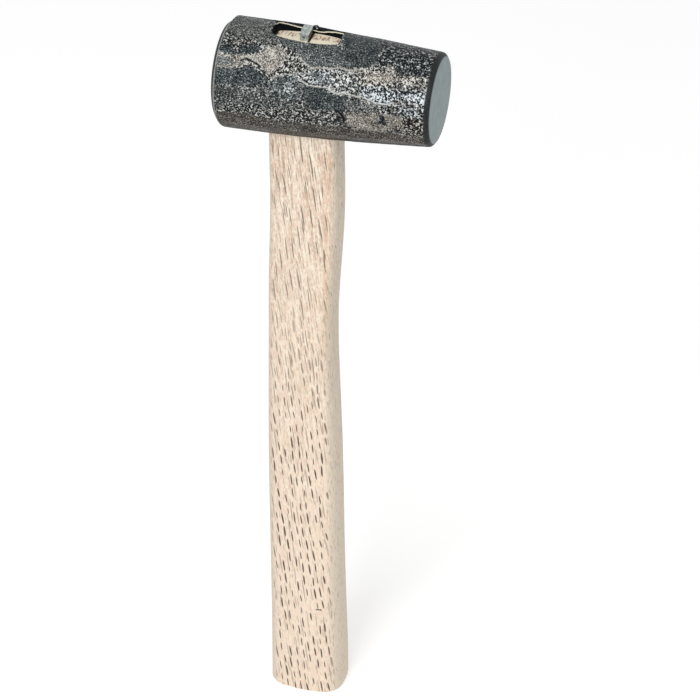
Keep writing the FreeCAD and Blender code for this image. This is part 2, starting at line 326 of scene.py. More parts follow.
def mouth_distance(x, y):
    """The same distance for the outline that the eye flares to at its upper mouth."""
    (ax, ay), (nx, ny) = CORNER_LINE
    u = np.abs(x - EYE_SHIFT)
    end = np.hypot(u + EYE_RADII[0] - EYE_HALF[0], y) - EYE_RADII[0]
    near = np.hypot(u, np.minimum(y, 0.0) - EYE_RADII[1] + EYE_HALF[1]) - EYE_RADII[1]
    far = y - FAR_WALL + FAR_WALL_SLANT * x + PUSHED_IN * beside_wedge(x)
    cornered = (ax - x) * -nx + (ay - y) * -ny
    return np.maximum(np.maximum(end, near), np.maximum(far, cornered))


def wall_distance(x, y, z):
    """How far a point lies outside the eye's wall, z mm above the head's axis."""
    rise = np.clip((z - WOOD_END) / MOUTH_RISE, 0.0, 1.0)
    return eye_distance(x, y) * (1 - rise) + mouth_distance(x, y) * rise - EYE_FLARE * np.abs(z)


def flat_radius(x, angle, flat):
    """How far out a hammered flat lies at each place of the barrel."""
    at, around, depth, slope_along, slope_round = flat
    a = math.radians(around)
    radius = barrel_radius(at) - depth
    barrel_slope = math.atan((at - crest_x) / math.sqrt(crest_radius ** 2 - (at - crest_x) ** 2))
    tilt = math.radians(slope_along) + barrel_slope
    turn = a + math.radians(slope_round)
    nx = math.sin(tilt)
    nt = math.cos(tilt)
    level = at * nx + radius * nt * math.cos(a - turn)
    facing = nt * np.cos(angle - turn)
    return np.where(facing > 0.5, (level - x * nx) / np.maximum(facing, 0.5), NO_LIMIT)


def head_radius(x, angle):
    """The barrel's radius, cut down by all its flats."""
    r = barrel_radius(x)
    for flat in FLATS:
        r = soft_min(r, flat_radius(x, angle, flat), CREASE)
    return r


def face_lean(x, degrees, radius):
    """How far the long end stands out, as its face leans away on the far side."""
    tilt = 1 + np.cos(np.radians(degrees + 78.0)) * np.minimum(1.0, radius / LONG_RIM)
    return FACE_PROUD * tilt * smoothstep(44.0, LONG_REACH, x)


def rim_ease(x, y):
    """How far the eye's rim is worn away, most beside the wedge on the far side."""
    middle = 0.75 * (1 - smoothstep(3.0, 11.0, np.abs(x)))
    return 0.25 + (y > 0) * (middle + 0.4 * beside_wedge(x))


BARREL_STEPS = 232
AROUND_STEPS = 352
SHORT_CHAMFER_STEPS = 8
LONG_CHAMFER_STEPS = 6
FACE_SHARES = (0.15, 0.3, 0.45, 0.6, 0.72, 0.82, 0.9, 0.95, 0.98)

# The rows of the mesh from end to end: the place along, and the most that its radius may be.
stations = []
short_face = SHORT_RIM - SHORT_CHAMFER
long_face = LONG_RIM - LONG_CHAMFER
for share in FACE_SHARES:
    stations.append((-SHORT_REACH, share * short_face))
for step in range(SHORT_CHAMFER_STEPS + 1):
    t = step / SHORT_CHAMFER_STEPS
    stations.append((-SHORT_REACH + t * SHORT_CHAMFER, short_face + t * SHORT_CHAMFER))
for step in range(1, BARREL_STEPS):
    t = step / BARREL_STEPS
    x = -SHORT_REACH + SHORT_CHAMFER + t * (SHORT_REACH + LONG_REACH - SHORT_CHAMFER - LONG_CHAMFER)
    stations.append((x, NO_LIMIT))
for step in range(LONG_CHAMFER_STEPS + 1):
    t = step / LONG_CHAMFER_STEPS
    stations.append((LONG_REACH - (1 - t) * LONG_CHAMFER, LONG_RIM - t * LONG_CHAMFER))
for share in FACE_SHARES[::-1]:
    stations.append((LONG_REACH, share * long_face))

xs = np.array([s[0] for s in stations])
caps = np.array([s[1] for s in stations])
angles = np.arange(AROUND_STEPS) * (2 * math.pi / AROUND_STEPS)
x_grid, angle = np.meshgrid(xs, angles, indexing="ij")
most = np.repeat(caps[:, None], AROUND_STEPS, 1)
# The chamfers bulge a little, the short end's unevenly, as they are ground by hand.
from_short = np.clip((x_grid + SHORT_REACH) / SHORT_CHAMFER, 0.0, 1.0)
from_long = np.clip((LONG_REACH - x_grid) / LONG_CHAMFER, 0.0, 1.0)
most += SHORT_CHAMFER * np.sin(math.pi * from_short) * (0.06 + 0.17 * np.cos(angle - math.radians(140.0)))
most += LONG_CHAMFER * np.sin(math.pi * from_long) * 0.22

radius = head_radius(x_grid, angle)

# Forging waves, broad and fine.
flat_points = np.stack([x_grid, -radius * np.sin(angle), radius * np.cos(angle)], -1).reshape(-1, 3)
broad = wander(flat_points, 9.0, 1, 2).reshape(x_grid.shape)
fine = wander(flat_points, 1.7, 2, 3).reshape(x_grid.shape)
radius = radius + 0.10 * broad + 0.055 * fine

# The rim of each mouth of the eye is eased, more at the middle of the far side.
across = -radius * np.sin(angle)
mouth = wall_distance(x_grid, across, radius * np.cos(angle))
ease = rim_ease(x_grid, across)
on_top = np.abs(np.cos(angle)) > 0.8
radius = radius - np.where(on_top, ease * (1 - smoothstep(0.0, 1.0, mouth / ease)), 0.0) * 0.9

# Chamfers and faces: the radius never passes the turned profile.
radius = np.where(most < 0.9 * NO_LIMIT, soft_min(np.minimum(radius, most + 0.05), most, 0.05), radius)
radius = np.minimum(radius, SHORT_RIM)
# The far cheek swells where the handle was driven in, and the long face leans out on its far side.
behind = np.degrees(angle - 2 * math.pi * (angle > math.pi))
radius += 0.45 * np.exp(-((x_grid + 5.0) / 10.0) ** 2 - ((behind + 40.0) / 15.0) ** 2)
x_grid = x_grid + face_lean(x_grid, behind, radius)

points = np.stack([x_grid, -radius * np.sin(angle), radius * np.cos(angle)], -1)
rows, columns = x_grid.shape
vertices = [(-SHORT_REACH, 0.0, 0.0)] + [tuple(p) for p in points.reshape(-1, 3)]
vertices.append((LONG_REACH + FACE_PROUD, 0.0, 0.0))
last_row = 1 + (rows - 1) * columns
faces = []
for j in range(columns):
    k = (j + 1) % columns
    faces.append((0, 1 + k, 1 + j))
    faces.append((len(vertices) - 1, last_row + j, last_row + k))
faces += tube_faces(rows, columns, 1)
vertices = [(x * MM, y * MM, (z + AXIS_HEIGHT) * MM) for x, y, z in vertices]
head = mesh_object("forged_head", vertices, faces)


EYE_COUNT = 240


def eye_outline(z):
    """The outline of the eye's wall, z mm above the head's axis."""
    outline = []
    for step in range(EYE_COUNT):
        t = 2 * math.pi * step / EYE_COUNT
        ray = Vector((EYE_HALF[0] * math.cos(t), EYE_HALF[1] * math.sin(t))).normalized()
        low, high = 0.0, 20.0
        for _ in range(40):
            mid = 0.5 * (low + high)
            if wall_distance(EYE_SHIFT + ray.x * mid, ray.y * mid, z) < 0:
                low = mid
            else:
                high = mid
        outline.append((EYE_SHIFT + ray.x * low, ray.y * low))
    return outline


# The eye's wall has a ring every quarter of a millimetre above the wood, for the painted highlight on its far
# rim.
RIM_RINGS = [WOOD_END + 0.05 + 0.25 * step for step in range(16)]
cutter_rings = []
for z in [-26.0, 0.0, WOOD_END] + RIM_RINGS + [26.0]:
    cutter_rings.append([(x * MM, y * MM, (AXIS_HEIGHT + z) * MM) for x, y in eye_outline(z)])
count = len(cutter_rings[0])
levels = len(cutter_rings)
cutter_faces = [tuple(range(count))[::-1], tuple((levels - 1) * count + i for i in range(count))]
cutter_faces += tube_faces(levels, count)
cutter = mesh_object("eye_cutter", sum(cutter_rings, []), cutter_faces)

cut = head.modifiers.new("eye", "BOOLEAN")
cut.operation = "DIFFERENCE"
cut.solver = "MANIFOLD"
cut.object = cutter
cut_mesh = shown_mesh(head)
bpy.data.objects.remove(cutter)
cut_mesh.shade_smooth()
cut_mesh.set_sharp_from_angle(angle=math.radians(38))

# Where the steel is scaled, rubbed bare or speckled, and where painted highlight (the highlight zones)
# and painted shade (the shade zones) are laid on it. Each zone is an outline of places on the barrel, (mm
# along, degrees round from the crown to the front), with its tone, its dark pits, its bright flecks, its
# warmth, and how softly its edge fades in mm.
ZONES = [
    ("top_left", [(-31, 15), (-29, -12), (-20, -15), (-14, 6), (-11, 15), (-13, 26), (-17, 24), (-25, 19)],
     0.50, 0.04, 0.10, 0.35, 2.0),
    ("top_left_speckle", [(-31, 27), (-25, 21), (-18, 23), (-14, 31), (-17, 38), (-22, 41), (-30, 40)],
     0.52, 0.85, 0.70, 0.50, 1.5),
    # left_shade and right_shade are painted shade.
    ("left_shade", [(-35, 29), (-31, 29), (-28, 35), (-25, 38), (-24, 42), (-30, 42), (-35, 40)],
     0.30, 0.25, 0.10, 0.0, 0.8),
    ("right_shade", [(-23, 33), (-19, 27), (-15, 31), (-16, 36), (-20, 40), (-24, 41)],
     0.32, 0.25, 0.10, 0.0, 0.8),
    ("left_strip", [(-35, 42), (-25, 43), (-20, 41), (-18, 45), (-19, 50), (-22, 53), (-26, 57), (-35, 59)],
     0.70, 0.12, 0.20, 0.80, 0.8),
    ("left_strip_brushed", [(-35, 45), (-27, 46), (-24, 50), (-27, 55), (-35, 57)],
     0.58, 0.04, 0.05, 0.20, 1.5),
    ("dark_left", [(-35, 60), (-24, 57), (-18, 52), (-15, 55), (-12, 58), (-10, 64), (-9, 69),
                   (-16, 71), (-35, 77)],
     0.335, 0.22, 0.20, 0.00, 0.8),
    ("lower_left", [(-35, 77), (-16, 71), (-9, 69), (2, 78), (4, 89), (-13, 97), (-35, 104)],
     0.41, 0.34, 0.32, 0.30, 1.5),
    ("below_lens", [(-9, 66), (-5, 59), (1, 56), (3, 64), (3, 80), (-3, 80), (-8, 77)],
     0.42, 0.25, 0.30, 0.00, 1.0),
    ("pale_flecks", [(-5, 66), (-2, 63), (1, 65), (1, 74), (-2, 76), (-5, 75)], 0.50, 0.55, 0.80, 0.00, 0.6),
    ("dashes", [(-35, 104), (-21, 96), (0, 92), (18, 90), (18, 107), (0, 109), (-14, 108),
                (-18, 104), (-35, 110)],
     0.55, 1.00, 0.95, 0.50, 1.0),
    ("speckled_band", [(2, 48), (6, 44), (17, 40), (24, 38), (26, 46), (27, 67), (21, 67), (16, 67), (13, 63),
                       (7, 63), (3, 60), (0, 55)], 0.60, 0.70, 0.75, 0.35, 0.8),
    ("band_stripes", [(7, 49), (13, 46), (17, 58), (14, 61), (8, 61)], 0.56, 0.35, 0.35, 0.00, 1.5),
    ("lens", [(-20, 41), (-16, 37), (-14, 32), (-11, 27), (-8, 25), (-5, 26), (-2, 30), (2, 37), (6, 44),
              (3, 50), (-2, 53), (-6, 58), (-10, 63), (-13, 57), (-18, 51), (-18, 44)],
     0.64, 0.92, 0.75, 0.60, 0.6),
    ("lens_smooth", [(-18, 40), (-13, 33), (-9, 26), (-6, 29), (-4, 36), (-5, 45), (-8, 53), (-10, 59),
                     (-13, 52), (-17, 47)], 0.77, 0.14, 0.20, 0.80, 1.5),
    ("under_eye", [(-11, 15), (0, 17), (14, 15), (21, 28), (22, 37), (16, 39), (6, 43), (1, 36), (-5, 27)],
     0.455, 0.06, 0.18, 0.15, 0.8),
    ("right_of_eye", [(14, -14), (25, -20), (31, 3), (31, 24), (27, 35), (22, 37), (17, 18)],
     0.35, 0.03, 0.06, 0.05, 1.0),
    ("upper_right", [(26, -21), (36, -28), (53, -20), (53, 20), (51, 34), (42, 37), (38, 25),
                     (32, 32), (32, 6)],
     0.33, 0.75, 0.50, 0.20, 1.5),
    ("light_band", [(24, 39), (28, 35), (33, 31), (39, 27), (42, 38), (51, 36), (52, 46),
                    (42, 50), (36, 54), (27, 57)],
     0.75, 0.72, 0.45, 0.70, 0.8),
    ("light_smooth", [(28, 44), (32, 38), (38, 38), (41, 45), (36, 49), (30, 49)],
     0.74, 0.20, 0.20, 0.90, 1.0),
    # The highlight zones are a painted highlight, where the pitted steel catches the light.
    ("highlight", [(27, 57), (33, 54), (42, 56), (53, 51), (53, 72), (49, 67), (43, 66), (39, 71), (37, 73),
                   (31, 72), (28, 68)], 0.60, 0.95, 0.80, 0.00, 0.8),
    ("highlight_left", [(28, 64), (31, 71), (37, 72), (40, 68), (37, 66), (32, 63)],
     0.80, 0.55, 0.85, 0.00, 0.6),
    ("highlight_right", [(44, 60), (53, 53), (53, 71), (50, 66), (46, 65)], 0.80, 0.65, 0.85, 0.00, 0.6),
    ("dark_facet", [(4, 63), (7, 65), (13, 65), (16, 70), (22, 69), (24, 77), (21, 87), (12, 88),
                    (7, 87), (5, 77)],
     0.34, 0.03, 0.08, 0.05, 0.6),
    ("grey_right", [(22, 72), (28, 75), (35, 76), (35, 84), (22, 87)], 0.50, 0.05, 0.05, 0.30, 0.8),
    ("lower_right", [(42, 70), (53, 73), (53, 86), (43, 88)], 0.55, 0.65, 0.60, 0.15, 1.2),
    ("corner_right", [(44, 88), (53, 85), (53, 114), (45, 113)], 0.52, 1.00, 0.85, 0.75, 1.0),
    ("tan_patch", [(22, 88), (35, 84), (44, 85), (45, 104), (36, 108), (22, 107)],
     0.655, 0.08, 0.10, 0.90, 0.6),
    ("blot", [(35, 87), (37, 87), (38, 99), (35, 100)], 0.16, 0.30, 0.00, 0.20, 0.5),
    ("bottom", [(-35, 109), (-18, 104), (-14, 109), (0, 111), (16, 109), (28, 110), (40, 112), (53, 116),
                (53, 165), (-35, 165)], 0.40, 0.15, 0.15, 0.95, 0.8),
    ("back_crown", [(-34, -16), (-18, -18), (-15, -40), (-8, -58), (-22, -66), (-34, -58)],
     0.44, 0.25, 0.20, 0.20, 1.5),
    ("back_scale", [(16, -22), (38, -28), (53, -22), (53, -52), (30, -60), (15, -54)],
     0.34, 0.30, 0.25, 0.10, 1.5),
    ("back_speckle", [(-34, -58), (-22, -66), (-8, -60), (-6, -84), (-20, -92), (-34, -90)],
     0.55, 0.85, 0.80, 0.50, 0.8),
    ("back_bare", [(-6, -62), (10, -56), (22, -60), (26, -78), (12, -92), (-4, -84)],
     0.70, 0.40, 0.35, 0.75, 0.6),
    ("back_flecks", [(26, -62), (53, -54), (53, -86), (34, -94), (24, -80)], 0.58, 0.85, 0.80, 0.05, 0.8),
    ("back_facet", [(-34, -92), (-18, -94), (-4, -88), (8, -96), (0, -118), (-24, -124), (-34, -120)],
     0.37, 0.15, 0.15, 0.05, 0.6),
    ("back_low", [(10, -96), (34, -96), (53, -88), (53, -124), (28, -128), (4, -120)],
     0.50, 0.75, 0.65, 0.40, 1.0),
    ("back_bottom", [(-35, -120), (0, -118), (28, -128), (53, -124), (53, -165), (-35, -165)],
     0.40, 0.15, 0.15, 0.90, 1.0),
]
# Thin lines along creases and edges of scale, and a painted highlight along the highlight's edge: points as
# above, half width in mm, tone and warmth.
LINES = [
    ("eye_ridge", [(1, 36), (6, 44), (13, 43), (15, 42), (17, 40), (20, 41), (27, 38)], 0.30, 0.90, 0.80),
    ("facet_edge", [(2, 59), (6, 63), (10, 64), (13, 63), (15, 65), (17, 68), (22, 67), (27, 69)],
     0.28, 0.98, 0.60),
    ("lens_lip", [(-22, 44), (-20, 43), (-17, 42)], 0.25, 0.92, 0.80),
    ("lens_foot", [(-10, 62), (-6, 58), (-2, 55), (1, 54)], 0.30, 0.86, 0.50),
    ("crack", [(-22, 48), (-20, 45), (-18, 47), (-16, 48), (-14, 51)], 0.28, 0.03, 0.30),
    ("lens_crease", [(-15, 52), (-12, 57), (-10, 62)], 0.25, 0.20, 0.30),
    ("streak", [(1, 58), (2, 62), (3, 66)], 0.35, 0.62, 0.10),
    ("right_edge", [(52.4, 47), (52.6, 58), (52.4, 68)], 0.35, 0.95, 0.15),
    ("arc", [(18, 87), (20, 90), (21, 94), (21, 101)], 0.45, 0.04, 0.20),
    ("low_crease", [(6, 103), (9, 104), (13, 102)], 0.35, 0.05, 0.20),
    ("highlight_edge", [(28, 62), (29, 69), (33, 73), (38, 73), (40, 70)], 0.25, 1.00, 0.00),
    ("bottom_edge", [(24, 110), (32, 109), (38, 110)], 0.30, 0.80, 0.80),
]

flat = np.empty(len(cut_mesh.vertices) * 3, np.float32)
cut_mesh.vertices.foreach_get("co", flat)
place = flat.reshape(-1, 3).astype(float) / MM
place[:, 2] -= AXIS_HEIGHT
round_degrees = np.degrees(np.arctan2(-place[:, 1], place[:, 2]))
barrel_x = place[:, 0] - face_lean(place[:, 0], round_degrees, np.hypot(place[:, 1], place[:, 2]))
waver = wander(place, 3.5, 5, 3)
other_waver = wander(place, 3.5, 7, 3)
patchy = wander(place, 7.0, 8, 3)
look = np.stack([0.50 + 0.16 * patchy, 0.55 + 0.3 * waver, 0.45 + 0.3 * other_waver,
                 0.4 + 0.3 * wander(place, 12.0, 9, 2)], 1)
zone_x = barrel_x + 0.45 * waver
zone_arc = round_degrees * ARC_PER_DEGREE + 0.45 * other_waver


def blend(values, weight):
    """Moves the look of each place towards values by weight."""
    look[:] += (np.array(values) - look) * weight[:, None]


for _, outline, *values, fade in ZONES:
    depth = inside([(x, a * ARC_PER_DEGREE) for x, a in outline], zone_x, zone_arc)
    blend(values, smoothstep(-0.35 * fade, 0.35 * fade, depth))
look[:, 0] += 0.03 * patchy
calm = np.zeros(barrel_x.shape)
line_x = barrel_x + 0.25 * waver
line_arc = round_degrees * ARC_PER_DEGREE + 0.25 * other_waver
for _, line, half, line_tone, warmth in LINES:
    near = np.full(barrel_x.shape, 1e9)
    for (ax, aa), (bx, ba) in zip(line, line[1:]):
        ay, by = aa * ARC_PER_DEGREE, ba * ARC_PER_DEGREE
        near = np.minimum(near, from_segment(line_x, line_arc, ax, ay, bx - ax, by - ay))
    weight = 1 - smoothstep(0.5 * half, 1.5 * half, near)
    calm = np.maximum(calm, weight)
    blend((line_tone, 0.05, 0.1, warmth), weight)

# Both chamfers are smooth and dark, with a rubbed line where the short one starts. The barrel behind
# the crown is painted blackest and a strip along the bottom darker, as painted shade, partly dark scale.
long_ring = smoothstep(LONG_REACH - LONG_CHAMFER - 0.8, LONG_REACH - LONG_CHAMFER - 0.2, barrel_x)
short_edge = SHORT_REACH - SHORT_CHAMFER + 1.3
short_ring = smoothstep(short_edge, short_edge + 0.3, -barrel_x)
short_line = (1 - smoothstep(0.15, 0.5, np.abs(-barrel_x - short_edge))) * (np.abs(round_degrees) < 150)
from_eye = 12.0 * smoothstep(13.5, 18.0, np.abs(barrel_x))
far_side_shade = smoothstep(12.0, 15.0, -round_degrees - from_eye)
far_side_shade *= 1 - smoothstep(44.0, 58.0, -round_degrees + 5.0 * waver)
far_side_shade *= 1 - smoothstep(14.5, 21.0, np.abs(barrel_x) + 2.0 * other_waver)
low_side_shade = smoothstep(138.0, 143.0, np.abs(round_degrees))

# Each point's distance from the eye's wall, how far it lies down that wall, and whether that is
# the far side. From these the material paints the wall black as painted shade, partly dark scale,
# and its far rim pale as a painted highlight.
near_eye = wall_distance(barrel_x, place[:, 1], place[:, 2])
on_wall = near_eye < 0.03
sector = np.degrees(np.arctan2(place[:, 1], place[:, 0] - EYE_SHIFT)) * EYE_COUNT / 360
sector = np.round(sector).astype(int) % EYE_COUNT + EYE_COUNT * (place[:, 2] < 0)
rim_height = np.zeros(2 * EYE_COUNT)
np.maximum.at(rim_height, sector[on_wall], np.abs(place[on_wall, 2]))
down = np.where(on_wall, rim_height[sector] - np.abs(place[:, 2]), 0.0)
far_eye = smoothstep(3.5, 4.5, place[:, 1]) * (place[:, 2] > 0)
near_eye[on_wall] = 0.0
for where, values in ((far_side_shade, (0.13, 0.05, 0.05, 0.10)), (low_side_shade, (0.26, 0.10, 0.10, 0.60)),
                      (long_ring, (0.22, 0.10, 0.10, 0.45)), (short_ring, (0.22, 0.10, 0.10, 0.10)),
                      (short_line, (0.85, 0.05, 0.2, 0.9))):
    blend(values, where)
    calm = np.maximum(calm, where)
ground = ((barrel_x < -SHORT_REACH + 0.01) | (barrel_x > LONG_REACH - 0.01)).astype(np.float32)

zone = cut_mesh.attributes.new("zone", "FLOAT_COLOR", "POINT")
zone.data.foreach_set("color", np.clip(look, 0.0, 1.0).astype(np.float32).ravel())
mouth_look = np.stack([near_eye, down, far_eye, calm], 1)
by_eye = cut_mesh.attributes.new("by_eye", "FLOAT_COLOR", "POINT")
by_eye.data.foreach_set("color", np.clip(mouth_look, 0.0, 1.0).astype(np.float32).ravel())
faced = cut_mesh.attributes.new("ground", "FLOAT", "POINT")
faced.data.foreach_set("value", ground)

n = Nodes(bpy.data.materials.new("forged_steel_dressed"))
here = object_coordinates(n)
zones = n.add("ShaderNodeAttribute", attribute_name="zone", attribute_type="GEOMETRY")
parts = n.add("ShaderNodeSeparateColor", {"Color": zones.outputs["Color"]})
tone, pit_share, fleck_share = parts.outputs
warm = zones.outputs["Alpha"]
is_ground = n.add("ShaderNodeAttribute", attribute_name="ground", attribute_type="GEOMETRY").outputs["Fac"]
eyes = n.add("ShaderNodeAttribute", attribute_name="by_eye", attribute_type="GEOMETRY")
is_calm = eyes.outputs["Alpha"]
wall_out, wall_down, wall_far = n.add("ShaderNodeSeparateColor", {"Color": eyes.outputs["Color"]}).outputs
grain = n.noise(here, 1100.0, 2.0, 0.6)
dust = n.noise(here, 2300.0, 1.0, 0.5)
mottle = n.noise(here, 300.0, 2.0, 0.5)
specks = n.noise(here, 1200.0, 1.0, 0.5)
# Bright flecks: pale specks in the scale, and in the highlight zones painted glints.
glints = n.noise(object_coordinates(n, turn=(0.6, 0.4, 0.9)), 1250.0, 1.0, 0.5)
both = n.math("MULTIPLY_ADD", specks, 0.5, n.math("MULTIPLY", grain, 0.5))
swing = n.math("MULTIPLY", n.math("SUBTRACT", grain, 0.5), n.math("MULTIPLY_ADD", pit_share, 4.7, 0.40))
swing = n.math("MULTIPLY_ADD", n.math("SUBTRACT", dust, 0.5), 2.1, swing)
swing = n.math("MULTIPLY_ADD", n.math("SUBTRACT", mottle, 0.5), 0.45, swing)
swing = n.math("MULTIPLY", swing, n.math("MULTIPLY_ADD", is_calm, -0.8, 1.0))
pit = n.math("SUBTRACT", specks, n.math("MULTIPLY_ADD", pit_share, -0.22, 0.71))
pit = n.math("MULTIPLY", pit, 26.0, clamp=True)
fleck = n.math("SUBTRACT", glints, n.math("MULTIPLY_ADD", fleck_share, -0.20, 0.71))
fleck = n.math("MULTIPLY", fleck, 26.0, clamp=True)
level = n.math("ADD", n.math("SUBTRACT", tone, 0.06), swing)
level = n.math("MULTIPLY_ADD", fleck, n.math("MULTIPLY_ADD", tone, 0.50, 0.15), level, clamp=True)
level = n.math("MULTIPLY", level, n.math("MULTIPLY_ADD", pit, -0.92, 1.0), clamp=True)
cool = n.ramp(level, [(0.0, (0.004, 0.006, 0.008)), (0.3, (0.036, 0.048, 0.052)), (0.5, (0.10, 0.112, 0.112)),
                      (0.72, (0.25, 0.265, 0.265)), (1.0, (0.66, 0.71, 0.74))])
tan = n.ramp(level, [(0.0, (0.006, 0.005, 0.005)), (0.3, (0.050, 0.045, 0.039)), (0.5, (0.122, 0.112, 0.098)),
                     (0.72, (0.27, 0.25, 0.22)), (1.0, (0.62, 0.58, 0.50))])
steel = n.mix(warm, cool, tan)
brushed = n.noise(here, 240.0, 3.0, 0.6)
face_colour = n.ramp(brushed, [(0.3, (0.24, 0.295, 0.30)), (0.7, (0.31, 0.36, 0.365))])
colour = n.mix(is_ground, steel, face_colour)
wall_shade = n.math("MULTIPLY", n.math("LESS_THAN", wall_out, 0.05),
               n.math("GREATER_THAN", wall_down, n.math("MULTIPLY_ADD", wall_far, 0.36, 0.04)))
# A painted highlight along the eye's far rim.
rim_highlight = n.math("MULTIPLY", n.math("LESS_THAN", wall_out, 0.10), n.math("GREATER_THAN", wall_far, 0.5))
colour = n.mix(rim_highlight, colour, (0.85, 0.80, 0.62))
colour = n.mix(wall_shade, colour, (0.004, 0.0045, 0.005))
dull = n.rise(tone, 0.20, 0.13)
dull = n.math("MULTIPLY", dull, is_calm)
rough = n.math("MULTIPLY_ADD", dull, 0.45, n.math("MULTIPLY_ADD", level, 0.10, 0.48))
metal = n.math("MULTIPLY_ADD", dull, -0.25, 0.25)
bump = n.add("ShaderNodeBump", {"Strength": 0.5, "Distance": 0.00012,
                                "Height": n.math("MULTIPLY", both, n.math("SUBTRACT", 1.0, is_ground))})
steel_material = n.finish(colour, rough, bump.outputs[0], metallic=metal, specular=0.08)
cut_mesh.materials.clear()
cut_mesh.materials.append(steel_material)

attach(head, "root")
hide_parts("head")

# The handle

# Everything of the wood above this height, in metres, is its end in the eye.
END_GRAIN_ABOVE = 0.33625

# The oak's grain runs down the handle at a lean. Its pores are short dark dashes in rows low down,
# and longer, fainter ones above.
GRAIN_LEAN = math.radians(8.5)
n = Nodes(bpy.data.materials.new("oak_dressed"))
axes = own_axes(n)
x_axis, y_axis, z_axis = axes


def pores(n, stretch, scale, smallest, largest, fewest, row=None, randomness=1.0):
    """Dark dashes along the grain, as a mask: fewest is the share of cells left empty."""
    place = object_coordinates(n, turn=(0.0, GRAIN_LEAN, 0.0), scale=(1.0, 1.0, stretch))
    cells = n.add("ShaderNodeTexVoronoi", {"Vector": place, "Scale": scale, "Randomness": randomness},
                  voronoi_dimensions="3D", feature="F1")
    chance = n.add("ShaderNodeSeparateColor", {"Color": cells.outputs["Color"]}).outputs[0]
    size = n.ramp(chance, [(0.0, 0.0), (fewest, 0.0), (fewest + 0.01, smallest), (1.0, largest)])
    if row is not None:
        size = n.math("MULTIPLY", size, row)
    edge = n.math("SUBTRACT", size, cells.outputs["Distance"])
    return n.math("MULTIPLY", edge, 20.0, clamp=True)


def dashes(n, across, up, column, pitch, half_width, half_length, present):
    """Dark dashes one under another in leaning columns, as a mask, with sizes in metres."""
    u = n.math("DIVIDE", across, column)
    in_column = n.math("FLOOR", u)
    place = n.add("ShaderNodeCombineXYZ", {0: in_column, 1: 0.5})
    start = n.add("ShaderNodeTexWhiteNoise", {"Vector": place.outputs[0]}).outputs["Value"]
    v = n.math("MULTIPLY_ADD", start, 5.0, n.math("DIVIDE", up, pitch))
    step = n.math("FLOOR", v)
    place = n.add("ShaderNodeCombineXYZ", {0: in_column, 1: step})
    draws = n.add("ShaderNodeTexWhiteNoise", {"Vector": place.outputs[0]}).outputs["Color"]
    chance, shift, size = n.add("ShaderNodeSeparateColor", {"Color": draws}).outputs
    aside = n.math("SUBTRACT", n.math("FRACT", u), n.math("MULTIPLY_ADD", shift, 0.36, 0.32))
    aside = n.math("MULTIPLY", aside, column / half_width)
    off = n.math("MULTIPLY", n.math("SUBTRACT", n.math("FRACT", v), 0.5), pitch / half_length)
    away = n.math("SQRT", n.math("MULTIPLY_ADD", off, off, n.math("MULTIPLY", aside, aside)))
    size = n.math("MULTIPLY", n.math("MULTIPLY_ADD", size, 0.5, 0.6), n.math("LESS_THAN", chance, present))
    return n.math("MULTIPLY", n.math("SUBTRACT", size, away), 5.5, clamp=True)


low_down = n.rise(z_axis, 0.24, 0.15)
wavy = n.noise(object_coordinates(n, scale=(1.0, 1.0, 0.3)), 110.0, 1.0)
row_lean = math.tan(math.radians(4.5))
across = n.math("MULTIPLY_ADD", z_axis, row_lean, n.math("MULTIPLY_ADD", y_axis, 0.35, x_axis))
across = n.math("MULTIPLY_ADD", wavy, 0.0016, across)
rows = n.math("COSINE", n.math("MULTIPLY", across, 2 * math.pi / 0.0023))
row = n.math("MULTIPLY_ADD", rows, 0.17, 0.83)
facing = n.add("ShaderNodeNewGeometry").outputs["Normal"]
side_on = n.math("ABSOLUTE", n.add("ShaderNodeSeparateXYZ", {"Vector": facing}).outputs[0])
side_on = n.rise(side_on, 0.50, 0.80)
front_on = n.math("SUBTRACT", 1.0, side_on)
pore_lean = math.tan(math.radians(7.0))
columns = n.math("MULTIPLY_ADD", z_axis, pore_lean, n.math("MULTIPLY_ADD", wavy, 0.003, x_axis))
dark_dashes = dashes(n, columns, z_axis, 0.0032, 0.0070, 0.00040, 0.0032, 0.86)
dark_dashes = n.math("MULTIPLY", dark_dashes, n.math("MULTIPLY_ADD", low_down, 0.92, 0.06))
thin_dashes = dashes(n, n.math("ADD", columns, 0.0411), z_axis, 0.0031, 0.0150, 0.00030, 0.0060, 0.60)
thin_dashes = n.math("MULTIPLY", thin_dashes, n.math("MULTIPLY_ADD", low_down, -0.30, 0.75))
dark_dashes = n.math("MULTIPLY", n.math("MAXIMUM", dark_dashes, thin_dashes), front_on)
short_pores = pores(n, 0.105, 960.0, 0.26, 0.38, 0.40, row, 0.85)
short_pores = n.math("MULTIPLY", short_pores, n.math("MULTIPLY_ADD", side_on, -0.12, 0.36))
short_pores = n.math("MULTIPLY", short_pores, n.math("MULTIPLY_ADD", low_down, 0.85, 0.12))
long_pores = pores(n, 0.050, 1000.0, 0.16, 0.30, 0.38, row)
long_pores = n.math("MULTIPLY", long_pores, n.math("MULTIPLY_ADD", low_down, -0.42, 0.72))
ticks = n.math("MULTIPLY", pores(n, 0.12, 1700.0, 0.18, 0.34, 0.45), 0.30)
scattered = n.math("MAXIMUM", n.math("MAXIMUM", short_pores, long_pores), ticks)
pore = n.math("MAXIMUM", scattered, dark_dashes)
wide = object_coordinates(n, turn=(0.0, GRAIN_LEAN * 0.6, 0.0), scale=(1.0, 1.0, 0.055))
fibres = n.noise(wide, 1250.0, 3.0, 0.6)
streaks = n.noise(wide, 420.0, 3.0, 0.6)
fine_place = object_coordinates(n, turn=(0.0, GRAIN_LEAN * 0.8, 0.0), scale=(1.0, 1.0, 0.045))
threads = n.noise(fine_place, 2000.0, 1.0)
grit = n.noise(object_coordinates(n, scale=(1.0, 1.0, 0.45)), 1400.0, 2.0, 0.6)
